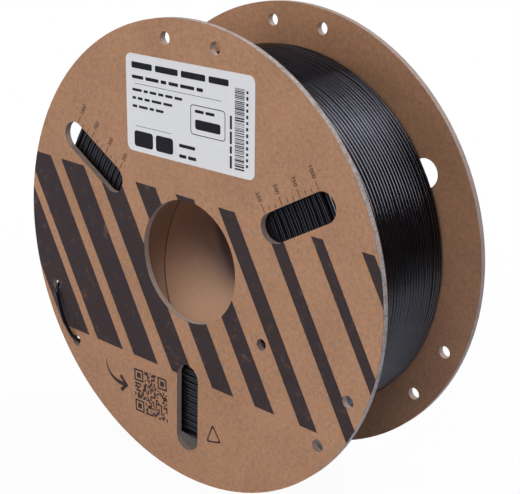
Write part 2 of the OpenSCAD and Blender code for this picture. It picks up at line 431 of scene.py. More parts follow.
def kraft_finish(name, board, seed, printed=None):
    """Kraft paper: mottled brown with pale and dark fibres, and the printed band where one is asked for."""
    nodes = Finish(name, {"Roughness": 0.85, "Specular IOR Level": 0.25})
    fibres = paper_fibres(nodes, nodes.place, seed)
    shifted = nodes.vector("ADD", nodes.place, (seed, seed, seed))
    dark_fibres = paper_fibres(nodes, shifted, seed + 20)
    blotches = nodes.noise(shifted, 560.0, 3.0, 0.62)
    clouds = nodes.noise(shifted, 42.0)
    grain = nodes.noise(shifted, 2600.0)
    tone = (blotches - 0.5) * 1.5 + (clouds - 0.5) * 0.7 + (grain - 0.5) * 0.9
    tone = tone + fibres * 0.12 - dark_fibres * 0.28 + 0.62
    paper = nodes.mix(nodes.ramp(tone, 0.0, 1.0, smooth=False), board.kraft_dark, board.kraft)
    warmth = nodes.ramp(nodes.noise(nodes.vector("ADD", shifted, (3, 1, 2)), 210.0), 0.4, 0.62)
    paper = nodes.mix(warmth * 0.24, paper, board.kraft_warm)
    if printed is not None:
        ink = printed_band(nodes, printed)
        scuffed = nodes.ramp(nodes.noise(shifted, 170.0, 6.0, 0.8), 0.56, 0.7, 1.0, 0.77)
        worn = grain * 0.35 + nodes.noise(shifted, 900.0, 3.0, 0.7) * 0.65
        spotted = nodes.ramp(worn, 0.27, 0.37, 0.72, 1.0)
        cover = ink * scuffed * spotted * nodes.ramp(tone, 0.1, 0.9, 1.0, 0.97)
        paper = nodes.mix(cover, paper, printed.ink)
        nodes.surface("Roughness", nodes.ramp(ink, 0.0, 1.0, 0.85, 0.7, smooth=False))
    nodes.surface("Base Color", paper)
    nodes.relief(fibres * 0.5 + grain * 0.3 + blotches * 0.3, 0.00006)
    return nodes.material


def printed_band(nodes, printed):
    """Where the band of slanted bars is printed, from 0 to 1."""
    rag, soft, last_bar = 0.00025, 0.0001, 8.0
    x, _, z = nodes.split(nodes.place)
    ragged = (nodes.noise(nodes.place, 1500.0, 2.0, 0.6) - 0.5) * rag
    z = z + ragged
    leaning = x + z * math.tan(printed.bar_lean) + ragged
    count = (leaning + printed.bar_start) / printed.bar_pitch
    bar, share = nodes.math("FLOOR", count), nodes.math("FRACT", count)
    width = nodes.ramp(bar, 0.0, last_bar, printed.widest, printed.narrowest, smooth=False)
    edge = soft / printed.bar_pitch
    across = nodes.ramp(share, 0.0, 2 * edge) * nodes.ramp(width - share, -edge, edge)
    above_foot = nodes.ramp(z, printed.band_low - soft, printed.band_low + soft)
    below_head = nodes.ramp(z, printed.band_high - soft, printed.band_high + soft, 1.0, 0.0)
    return across * (above_foot * below_head)


def greyboard_finish(name, board):
    """The cut edge of a greyboard: thin plies along the faces, speckled with dark and pale fibres."""
    nodes = Finish(name, {"Roughness": 0.88})
    plies = nodes.noise(nodes.vector("MULTIPLY", nodes.place, (110.0, 3400.0, 110.0)), 1.0, 3.0, 0.6)
    specks = nodes.noise(nodes.place, 1700.0, 3.0, 0.65)
    clouds = nodes.noise(nodes.place, 70.0)
    mottle = nodes.noise(nodes.place, 800.0, 3.0, 0.65) - 0.5
    x, y, z = nodes.split(nodes.place)
    outermost = nodes.ramp(nodes.length(nodes.point(x, 0, z)), 0.98 * FLANGE_R, 0.99 * FLANGE_R)
    at_front_rim = outermost * nodes.math("LESS_THAN", y, 0.0)
    tone = plies * 0.75 + specks * 0.95 + clouds * 0.35 + mottle * at_front_rim * 1.6 - 0.5
    pale = nodes.mix(at_front_rim, board.grey, board.grey_rim)
    nodes.surface("Base Color", nodes.mix(nodes.ramp(tone, 0.15, 0.85, smooth=False), board.grey_dark, pale))
    nodes.relief(plies + specks * 0.6, 0.00012)
    return nodes.material


def tube_finish(name, board, seamed=False):
    """Wound tube paper, with its spiral seam where it is seen, and painted shade at the seamed ply's far end.
    """
    nodes = Finish(name, {"Roughness": 0.8})
    drawn = nodes.add("ShaderNodeMapping", {"Vector": nodes.place, "Scale": (260.0, 700.0, 260.0)})
    fibres = nodes.noise(drawn, 1.0, 4.0, 0.65)
    tone = fibres * 0.9 + nodes.noise(nodes.place, 2300.0) * 0.4 - 0.2
    paper = nodes.mix(nodes.ramp(tone, 0.1, 0.9, smooth=False), shaded(board.tube, 0.78), board.tube)
    if not seamed:
        nodes.surface("Base Color", paper)
        nodes.relief(fibres, 0.00008)
        return nodes.material

    x, y, z = nodes.split(nodes.place)
    turn = nodes.math("ARCTAN2", z, x) / math.tau
    start = -board.seam_start / board.seam_lead + 8.0  # Whole turns keep the sum above 0.
    ahead = nodes.math("FRACT", y / board.seam_lead + turn + start)
    seam = nodes.ramp(nodes.math("MINIMUM", ahead, 1.0 - ahead), 0.0026, 0.0048, 1.0, 0.0)
    paper = nodes.mix(nodes.ramp(ahead, 0.62, 1.0, 0.0, 0.45), paper, shaded(board.tube, 0.55))
    paper = nodes.mix(seam * 0.85, paper, board.seam)
    # Painted shade: the paper darkens towards the rear flange, where the tube lies in shadow.
    paper = nodes.mix(nodes.ramp(y, 0.019, 0.025, 0.0, 0.72), paper, board.tube_end_shade)
    nodes.surface("Base Color", paper)
    nodes.relief(fibres * 0.2 - seam, 0.0002)
    return nodes.material


def filament_finish(name, winding):
    """Smooth black plastic, a little uneven in its colour and gloss."""
    nodes = Finish(name, {"IOR": 1.58})
    haze = nodes.noise(nodes.place, 160.0, 3.0)
    nodes.surface("Base Color", nodes.mix(haze, shaded(winding.colour, 0.75), shaded(winding.colour, 1.25)))
    glossiest, dullest = winding.roughness - 0.04, winding.roughness + 0.05
    nodes.surface("Roughness", nodes.ramp(haze, 0.3, 0.7, glossiest, dullest))
    nodes.relief(nodes.noise(nodes.place, 420.0), 0.00006)
    return nodes.material


def glue_finish(name, board):
    """Dried glue, uneven and a little glossy."""
    nodes = Finish(name, {"Roughness": 0.4})
    lumps = nodes.noise(nodes.place, 300.0, 3.0)
    nodes.surface("Base Color", nodes.mix(lumps, shaded(board.glue, 0.7), board.glue))
    nodes.relief(lumps, 0.0004)
    return nodes.material


def label_finish(name, label):
    """Coated label paper with the faintest waviness."""
    nodes = Finish(name, {"Roughness": 0.5})
    waves, grain = nodes.noise(nodes.place, 90.0), nodes.noise(nodes.place, 2400.0)
    nodes.surface("Base Color", nodes.mix((waves + grain) * 0.5, shaded(label.paper, 0.93), label.paper))
    nodes.relief(waves + grain * 0.08, 0.00012)
    return nodes.material


def ink_finish(name, colour, paper, wear):
    """Ink on paper, with small spots where it has not taken."""
    nodes = Finish(name, {"Roughness": 0.7, "Specular IOR Level": 0.25})
    taken = nodes.ramp(nodes.noise(nodes.place, 1500.0, 3.0, 0.65), wear - 0.06, wear, 0.5, 1.0)
    nodes.surface("Base Color", nodes.mix(taken, paper, colour))
    return nodes.material


# ---------------------------------------------------------------------------------------------
# Making pieces
# ---------------------------------------------------------------------------------------------


def new_tree(name, **inputs):
    """A Geometry Nodes tree with named inputs, listed by kind: the tree, its nodes and its inputs."""
    tree = bpy.data.node_groups.new(name, "GeometryNodeTree")
    tree.interface.new_socket("Geometry", in_out="OUTPUT", socket_type="NodeSocketGeometry")
    for kind, labels in {**inputs, "Material": ["Material"]}.items():
        for label in labels:
            tree.interface.new_socket(label, in_out="INPUT", socket_type=f"NodeSocket{kind}")
    nodes = Nodes(tree)
    given = {socket.name: Value(nodes, socket) for socket in nodes.add("NodeGroupInput").outputs}
    return tree, nodes, given


def end_tree(nodes, geometry, given, smooth=True):
    """Ends a tree with plain geometry in the given material."""
    sides = nodes.add("GeometryNodeSetShadeSmooth", {"Geometry": geometry, "Shade Smooth": smooth})
    plain = nodes.add("GeometryNodeRealizeInstances", {"Geometry": sides})
    finished = nodes.add("GeometryNodeSetMaterial", {"Geometry": plain, "Material": given["Material"]})
    nodes.add("NodeGroupOutput", {"Geometry": finished})


def end_as_tube(nodes, curve, given):
    """Ends a tree with a round closed tube along a curve."""
    circle = {"Resolution": given["Sides"], "Radius": given["Diameter"] * 0.5}
    ring = nodes.add("GeometryNodeCurvePrimitiveCircle", circle)
    tube = {"Curve": curve, "Profile Curve": ring, "Fill Caps": True}
    end_tree(nodes, nodes.add("GeometryNodeCurveToMesh", tube), given)


def new_object(name, data):
    """A new object in the scene."""
    made = bpy.data.objects.new(name, data)
    bpy.context.scene.collection.objects.link(made)
    return made


def new_mesh(name, shape):
    """A bmesh shape as a new mesh."""
    mesh = bpy.data.meshes.new(name)
    shape.to_mesh(mesh)
    shape.free()
    return mesh


def shown_mesh(data, change=None):
    """The evaluated mesh of an object that is made from data for a moment, after a change to it."""
    maker = new_object("maker", data)
    if change:
        change(maker)
    graph = bpy.context.evaluated_depsgraph_get()
    mesh = bpy.data.meshes.new_from_object(maker.evaluated_get(graph), depsgraph=graph)
    bpy.data.objects.remove(maker)
    return mesh


def one_finish(mesh, finish):
    """Leaves a mesh one material slot, which all its faces use."""
    mesh.materials.clear()
    mesh.materials.append(finish)
    mesh.polygons.foreach_set("material_index", [0] * len(mesh.polygons))


def close_and_face_outwards(mesh, reach=1e-7):
    """Merges the points that meet and turns the faces outwards."""
    shape = bmesh.new()
    shape.from_mesh(mesh)
    bmesh.ops.remove_doubles(shape, verts=shape.verts, dist=reach)
    bmesh.ops.recalc_face_normals(shape, faces=shape.faces)
    shape.to_mesh(mesh)
    shape.free()


def place_piece(name, mesh, slot, *stands_for):
    """A finished mesh as a piece of the spool."""
    mesh.name = name
    piece = new_object(name, mesh)
    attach(piece, "root")
    if stands_for:
        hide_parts(*stands_for)


def mesh_from_tree(tree, sizes, start=None):
    """What a Geometry Nodes tree makes from named sizes, as a plain mesh."""
    def shape(maker):
        change = maker.modifiers.new("Shape", "NODES")
        change.node_group = tree
        for item in tree.interface.items_tree:
            if item.in_out == "INPUT" and item.name in sizes:
                change[item.identifier] = sizes[item.name]

    mesh = shown_mesh(start or bpy.data.meshes.new("start"), shape)
    one_finish(mesh, sizes["Material"])
    close_and_face_outwards(mesh)
    return mesh


def dress(finish, *nodes):
    """Gives CAD nodes their finish."""
    for node in nodes:
        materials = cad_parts[node].data.materials
        materials.clear()
        materials.append(finish)


def joined(name, meshes):
    """Several meshes of one material as one."""
    whole = bmesh.new()
    for part in meshes:
        whole.from_mesh(part)
    mesh = new_mesh(name, whole)
    one_finish(mesh, meshes[0].materials[0])
    return mesh


def flat_print(outlines, face_y, finish, lift=PRINT_LIFT, sink=PRINT_SINK):
    """Closed thin print on a face that is turned to -Y.

    Outlines are lists of (x, z) points, and one inside another is a hole.
    """
    drawing = bpy.data.curves.new("print", "CURVE")
    drawing.dimensions = "2D"
    drawing.fill_mode = "BOTH"
    for outline in outlines:
        line = drawing.splines.new("POLY")
        line.points.add(len(outline) - 1)
        line.use_cyclic_u = True
        for point, (x, z) in zip(line.points, outline):
            point.co = (x, z, 0, 1)
    return flat_mesh(drawing, face_y, finish, lift, sink)


def flat_mesh(drawing, face_y, finish, lift, sink):
    """A flat curve or text object's data as a thin mesh on a face that is turned to -Y."""
    drawing.extrude = (lift + sink) / 2
    mesh = shown_mesh(drawing)
    middle = Vector((0, face_y + (sink - lift) / 2, 0))
    mesh.transform(Matrix.Translation(middle) @ Matrix.Rotation(math.pi / 2, 4, "X"))
    one_finish(mesh, finish)
    close_and_face_outwards(mesh, 1e-6)
    return mesh


# ---------------------------------------------------------------------------------------------
# Filament
# ---------------------------------------------------------------------------------------------


def turns_tree():
    """A layer of turns laid side by side from one flange to the other."""
    tree, nodes, given = new_tree(
        "Layer of Turns",
        Int=("Points per Turn", "Sides"),
        Float=(
            "Turns", "First Radius", "Last Radius", "First Y", "Last Y", "End Angle", "Direction", "Diameter",
            "Wobble", "Swell", "Gap", "Gap Turns", "Gap Closed At", "Slack", "Seed",
        ),
    )
    count = given["Turns"] * given["Points per Turn"] + 1.0
    line = nodes.add("GeometryNodeCurvePrimitiveLine")
    strand = nodes.add("GeometryNodeResampleCurve", {"Curve": line, "Count": count}, mode="COUNT")
    turn = nodes.value("GeometryNodeInputIndex") / given["Points per Turn"]
    left = given["Turns"] - turn
    done = turn / given["Turns"]
    angle = given["End Angle"] - left * given["Direction"] * math.tau
    across, up = nodes.math("COSINE", angle), nodes.math("SINE", angle)

    # The gap stays open beyond the first turns, until a turn crosses it and lies a little raised there.
    past_crossing = angle - given["Gap Closed At"]
    apart = nodes.math("ABSOLUTE", nodes.math("SINE", past_crossing * 0.5))
    narrowing = nodes.ramp(nodes.math("SINE", past_crossing), -0.15, 0.15, 0.3, 1.0)
    opened = given["Gap"] * narrowing * nodes.ramp(apart, 0.02, 0.11)
    beyond = nodes.math("GREATER_THAN", turn, given["Gap Turns"])
    y = nodes.ramp(done, 0.0, 1.0, given["First Y"], given["Last Y"] + opened, smooth=False)
    y = y - opened * beyond
    from_crossing = nodes.math("ABSOLUTE", turn - (given["Gap Turns"] + 0.025))
    raised = given["Gap"] * nodes.ramp(from_crossing, 0.01, 0.07, 0.35, 0.0)

    # The last turns hang slack at the bottom.
    from_lowest = nodes.math("ABSOLUTE", nodes.math("SINE", (angle + math.pi / 2) * 0.5))
    lowest = nodes.ramp(from_lowest, 0.05, 0.5, 1.0, 0.0)
    hanging = lowest * nodes.ramp(left, 0.4, 2.8, 1.0, 0.0, smooth=False)

    # Each turn strays by itself, and all swell together. The strand's very end is held in its place.
    held = nodes.ramp(left, 0.0, 0.2)
    own = turn + given["Seed"]
    stray = nodes.noise_along(own, 8.0, 3.0) - 0.5
    shuffle = nodes.noise_along(own + 91.0, 7.0, 2.0) - 0.5
    shared = nodes.point(across * 1.6, y * 60.0 + given["Seed"], up * 1.6)
    swell = nodes.noise(shared, 1.0) - 0.5
    radius = nodes.ramp(done, 0.0, 1.0, given["First Radius"], given["Last Radius"], smooth=False)
    radius = radius + raised + hanging * given["Slack"]
    radius = radius + held * given["Wobble"] * stray * 4.0 + held * given["Swell"] * swell * 2.0
    y = y + held * given["Wobble"] * shuffle * 3.0
    spot = nodes.point(across * radius, y, up * radius)
    end_as_tube(nodes, nodes.add("GeometryNodeSetPosition", {"Geometry": strand, "Position": spot}), given)
    return tree


def side_turns_tree():
    """The turns that each layer ends with beside a flange, as rings from the core outwards."""
    tree, nodes, given = new_tree(
        "Turns beside a Flange",
        Int=("Rings", "Points", "Sides", "Seed"),
        Float=("Inner Radius", "Layer Step", "Side Y", "Inwards", "Diameter", "Wobble", "Recess"),
    )
    index = nodes.value("GeometryNodeInputIndex")
    radius = given["Inner Radius"] + index * given["Layer Step"]
    draw = {"ID": index, "Seed": given["Seed"]}
    chance = nodes.value("FunctionNodeRandomValue", draw, 1, data_type="FLOAT")
    recess = nodes.math("MODULO", index, 2.0) * given["Recess"] + chance * given["Recess"] * 0.7
    depth = nodes.point(0.0, 0.0, given["Inwards"] * recess)
    spots = nodes.add("GeometryNodePoints", {"Count": given["Rings"], "Position": depth})
    ring = nodes.add("GeometryNodeCurvePrimitiveCircle", {"Resolution": given["Points"], "Radius": 1.0})
    scale = nodes.point(radius, radius, 1.0)
    rings = nodes.add("GeometryNodeInstanceOnPoints", {"Points": spots, "Instance": ring, "Scale": scale})
    loose = nodes.add("GeometryNodeRealizeInstances", {"Geometry": rings})
    x, y, z = nodes.split(nodes.add("GeometryNodeInputPosition"))
    bend = nodes.noise(nodes.point(x * 70.0, y * 70.0, given["Seed"]), 1.0) - 0.5
    spot = nodes.point(x, z + given["Side Y"] + bend * given["Wobble"] * 3.0, y)
    end_as_tube(nodes, nodes.add("GeometryNodeSetPosition", {"Geometry": loose, "Position": spot}), given)
    return tree


def path_tree():
    """A length of filament that follows given points on a smooth curve."""
    tree, nodes, given = new_tree(
        "Filament along a Path", Geometry=("Path",), Int=("Sides", "Steps"), Float=("Diameter",)
    )
    line = nodes.add("GeometryNodeMeshToCurve", {"Mesh": given["Path"]})
    smooth = nodes.add("GeometryNodeCurveSplineType", {"Curve": line}, spline_type="CATMULL_ROM")
    fine = nodes.add("GeometryNodeSetSplineResolution", {"Geometry": smooth, "Resolution": given["Steps"]})
    end_as_tube(nodes, fine, given)
    return tree


def path_mesh(points):
    """A bare line of edges through points."""
    line = bpy.data.meshes.new("path")
    line.from_pydata(points, [(i, i + 1) for i in range(len(points) - 1)], [])
    return line


def last_turn(winding):
    """The radius and the Y of the last turn's middle line, beside the front flange."""
    return WINDING_R - winding.filament / 2, INSIDE_FRONT_Y + SIDE_PLAY + winding.filament / 2


def points_past_hole(radius, angle, steps):
    """Points given in steps round a place on the front face."""
    return [
        (radius + off * MM) * outward(angle) + side * MM * along(angle) + Vector((0, FRONT_Y + deep * MM, 0))
        for side, off, deep in steps
    ]


def free_end_points(winding):
    """The free end's way from the last turn through the two rim holes."""
    turn_r, last_y = last_turn(winding)
    turn_step, pieces_between = math.radians(1.2), 6
    points = [
        turn_r * outward(winding.end_angle - turn_step * back) + Vector((0, last_y, 0))
        for back in (3, 2, 1, 0)
    ]
    past_holes = points_past_hole(HOLE_LINE_R, THREADED_ANGLE, FREE_END_STEPS)
    points += [points[-1].lerp(past_holes[0], i / pieces_between) for i in range(1, pieces_between)]
    return points + past_holes


class SpoolPieceOperator:
    """What the spool's operators share."""

    bl_options = {"REGISTER", "UNDO"}


class SPOOL_OT_outer_turns(SpoolPieceOperator, bpy.types.Operator):
    """Wind the outer layer of turns"""

    bl_idname = "spool.outer_turns"
    bl_label = "Outer Turns"

    def execute(self, context):
        winding = context.scene.spool_winding
        turn_r, last_y = last_turn(winding)
        tree = turns_tree()
        outer = {
            "Turns": float(winding.turns), "Points per Turn": winding.points, "Direction": 1.0,
            "First Radius": turn_r + winding.rise, "Last Radius": turn_r,
            "First Y": -last_y, "Last Y": last_y, "End Angle": winding.end_angle,
            "Diameter": winding.filament, "Sides": 10,
            "Wobble": winding.wobble, "Swell": winding.swell, "Gap": winding.gap,
            "Gap Turns": winding.gap_turns, "Gap Closed At": winding.gap_closed, "Slack": winding.slack,
            "Seed": 3.0, "Material": filament_finish("black_filament", winding),
        }
        mesh = mesh_from_tree(tree, outer)
        place_piece("filament_outer_turns", mesh, "filament", "filament_outer_layer")

        # The layer under it lies between its turns and runs the other way.
        under_r, under_y = turn_r - winding.layer_step, last_y + winding.filament / 2
        under = {
            **outer, "Turns": winding.turns - 1.0, "Points per Turn": 90, "Direction": -1.0,
            "First Radius": under_r, "Last Radius": under_r, "First Y": under_y, "Last Y": -under_y,
            "Sides": 6, "Gap": 0.0, "Slack": 0.0, "Seed": 40.0,
        }
        mesh = mesh_from_tree(tree, under)
        place_piece("filament_under_layer", mesh, "filament", "filament_inner_layers")
        return {"FINISHED"}


class SPOOL_OT_inner_turns(SpoolPieceOperator, bpy.types.Operator):
    """Wind the inner layers, with the turns that are seen through the windows"""

    bl_idname = "spool.inner_turns"
    bl_label = "Inner Turns"

    def execute(self, context):
        winding = context.scene.spool_winding
        black = bpy.data.materials["black_filament"]
        _, side_y = last_turn(winding)
        tree = side_turns_tree()
        for side, inwards, seed in (("front", 1.0, 7), ("rear", -1.0, 21)):
            rings = mesh_from_tree(tree, {
                "Rings": winding.layers, "Points": ROUND_POINTS, "Layer Step": winding.layer_step,
                "Inner Radius": CORE_R + winding.filament / 2, "Side Y": side_y * inwards, "Inwards": inwards,
                "Diameter": winding.filament, "Sides": 8, "Wobble": 0.0004, "Recess": 0.00035,
                "Seed": seed, "Material": black,
            })
            place_piece(f"filament_{side}_side_turns", rings, "filament", "filament_inner_layers")
        hidden = self.hidden_turns(black, winding, side_y)
        place_piece("filament_hidden_turns", hidden, "filament", "filament_inner_layers")
        return {"FINISHED"}

    def hidden_turns(self, black, winding, side_y):
        """The body of turns behind the seen ones, closed and ribbed by its layers."""
        depth, rib, play = 0.0014, 0.0003, 0.00005
        inner, outer = CORE_R + play, WINDING_R - winding.filament - winding.layer_step
        end = -side_y - depth
        profile = [(inner, -end)]
        for row in range(int((outer - CORE_R) / winding.layer_step)):
            middle = CORE_R + (row + 0.5) * winding.layer_step
            profile += [(middle, -end - rib), (middle + winding.layer_step / 2, -end)]
        profile += [(outer, -end), (outer, end)]
        profile += [(r, -y) for r, y in reversed(profile[1:-2])]
        profile.append((inner, end))
        shape = bmesh.new()
        directions = [outward(math.tau * k / ROUND_POINTS) for k in range(ROUND_POINTS)]
        rings = [[shape.verts.new(r * way + Vector((0, y, 0))) for way in directions] for r, y in profile]
        for first, second in zip(rings, rings[1:] + rings[:1]):
            for k in range(ROUND_POINTS):
                after = (k + 1) % ROUND_POINTS
                shape.faces.new((first[k], first[after], second[after], second[k]))
        mesh = new_mesh("hidden_turns", shape)
        mesh.materials.append(black)
        close_and_face_outwards(mesh)
        return mesh


class SPOOL_OT_filament_ends(SpoolPieceOperator, bpy.types.Operator):
    """Lay the free end through the rim holes and the anchored end in its hole"""

    bl_idname = "spool.filament_ends"
    bl_label = "Filament Ends"

    def execute(self, context):
        winding = context.scene.spool_winding
        black = bpy.data.materials["black_filament"]
        tree = path_tree()
        sizes = {"Diameter": winding.filament, "Sides": 16, "Steps": 5, "Material": black}
        free = mesh_from_tree(tree, sizes, path_mesh(free_end_points(winding)))
        place_piece("filament_free_end", free, "filament", "filament_tail")
        way = path_mesh(points_past_hole(ANCHOR_R, ANCHOR_ANGLE, ANCHORED_END_STEPS))
        place_piece("filament_anchored_end", mesh_from_tree(tree, sizes, way), "filament", "filament_start")
        return {"FINISHED"}


# ---------------------------------------------------------------------------------------------
# Flanges, core and print
# ---------------------------------------------------------------------------------------------


class SPOOL_OT_flanges(SpoolPieceOperator, bpy.types.Operator):
    """Give the flanges their kraft faces and greyboard edges"""

    bl_idname = "spool.flanges"
    bl_label = "Flanges"

    def execute(self, context):
        board, printed = context.scene.spool_board, context.scene.spool_print
        dress(kraft_finish("printed_kraft", board, 0.0, printed), "front_outer_liner")
        for seed, face in ((3.0, "front_inner"), (7.0, "rear_inner"), (11.0, "rear_outer")):
            dress(kraft_finish(f"{face}_kraft", board, seed), f"{face}_liner")
        dress(greyboard_finish("greyboard_edge", board), "front_board", "rear_board")
        return {"FINISHED"}


class SPOOL_OT_core(SpoolPieceOperator, bpy.types.Operator):
    """Give the core tube its wound paper and its glue"""

    bl_idname = "spool.core"
    bl_label = "Core Tube"

    def execute(self, context):
        board = context.scene.spool_board
        dress(tube_finish("seamed_tube_paper", board, seamed=True), "core_inner_ply")
        dress(tube_finish("outer_tube_paper", board), "core_outer_ply")
        dress(greyboard_finish("tube_board", board), "core_body_plies")
        dress(glue_finish("dried_glue", board), "front_glue_ring", "rear_glue_ring")
        return {"FINISHED"}


def gauge_tree():
    """Gauge marks beside a window: long ones at even steps, with two short ones between."""
    tree, nodes, given = new_tree(
        "Gauge Marks",
        Int=("Marks",),
        Float=(
            "Start", "Step", "Long", "Short", "Width", "Offset", "Slot Angle", "Side", "Face Y", "Thickness"
        ),
    )
    index = nodes.value("GeometryNodeInputIndex")
    is_long = nodes.math("LESS_THAN", nodes.math("MODULO", index, 3.0), 0.5)
    length = given["Short"] + is_long * (given["Long"] - given["Short"])
    distance = given["Start"] + index * given["Step"] * (1 / 3)
    place = nodes.point(distance, 0.0, given["Side"] * (given["Offset"] + length * 0.5))
    marks = nodes.add("GeometryNodeInstanceOnPoints", {
        "Points": nodes.add("GeometryNodePoints", {"Count": given["Marks"], "Position": place}),
        "Instance": nodes.add("GeometryNodeMeshCube", {"Size": (1, 1, 1)}),
        "Scale": nodes.point(given["Width"], given["Thickness"], length),
    })
    turned = nodes.add("GeometryNodeTransform", {
        "Geometry": marks, "Translation": nodes.point(0.0, given["Face Y"], 0.0),
        "Rotation": nodes.point(0.0, given["Slot Angle"] * -1.0, 0.0),
    })
    end_tree(nodes, turned, given, smooth=False)
    return tree


def code_tree():
    """A square field of dots, filled by chance, with its three marked corners left free."""
    tree, nodes, given = new_tree(
        "Code Dots",
        Int=("Cells", "Seed"),
        Float=("Cell", "Fill", "Corner Cells", "Tilt", "Thickness"),
        Vector=("Middle",),
    )
    side = (given["Cells"] - 1.0) * given["Cell"]
    grid = nodes.add("GeometryNodeMeshGrid", {
        "Size X": side, "Size Y": side, "Vertices X": given["Cells"], "Vertices Y": given["Cells"],
    })
    x, z, _ = nodes.split(nodes.add("GeometryNodeInputPosition"))
    edge = side * 0.5 - (given["Corner Cells"] - 0.5) * given["Cell"]
    left, right = nodes.math("LESS_THAN", x, edge * -1.0), nodes.math("GREATER_THAN", x, edge)
    bottom, top = nodes.math("LESS_THAN", z, edge * -1.0), nodes.math("GREATER_THAN", z, edge)
    corner = nodes.math("MAXIMUM", top * nodes.math("MAXIMUM", left, right), bottom * left)
    draw = {"Probability": given["Fill"], "Seed": given["Seed"]}
    chance = nodes.value("FunctionNodeRandomValue", draw, 3, data_type="BOOLEAN")
    share = given["Cell"] * 0.97
    dots = nodes.add("GeometryNodeInstanceOnPoints", {
        "Points": grid,
        "Selection": chance * (1.0 - corner),
        "Instance": nodes.add("GeometryNodeMeshCube", {"Size": (1, 1, 1)}),
        "Scale": nodes.point(share, share, given["Thickness"]),
    })
    upright = nodes.add("GeometryNodeTransform", {"Geometry": dots, "Rotation": (math.pi / 2, 0, 0)})
    turned = nodes.add("GeometryNodeTransform", {
        "Geometry": upright, "Translation": given["Middle"],
        "Rotation": nodes.point(0.0, given["Tilt"] * -1.0, 0.0),
    })
    end_tree(nodes, turned, given, smooth=False)
    return tree


def turned_outline(outline, centre, tilt):
    """Points round (0, 0), turned and moved to a place on the flange."""
    cos, sin = math.cos(tilt), math.sin(tilt)
    return [(centre[0] + x * cos - z * sin, centre[1] + x * sin + z * cos) for x, z in outline]


def rounded_box(left, low, right, high, corner=0.0):
    """The outline of a box with rounded corners."""
    if corner <= 0:
        return [(left, low), (right, low), (right, high), (left, high)]
    steps = 4
    corner = min(corner, (right - left) / 2.001, (high - low) / 2.001)
    outline = []
    for x, z, start in (
        (right - corner, low + corner, -90), (right - corner, high - corner, 0),
        (left + corner, high - corner, 90), (left + corner, low + corner, 180),
    ):
        for k in range(steps + 1):
            angle = math.radians(start + 90 * k / steps)
            outline.append((x + corner * math.cos(angle), z + corner * math.sin(angle)))
    return outline


def square(size):
    """The outline of a square round (0, 0)."""
    return rounded_box(-size / 2, -size / 2, size / 2, size / 2)


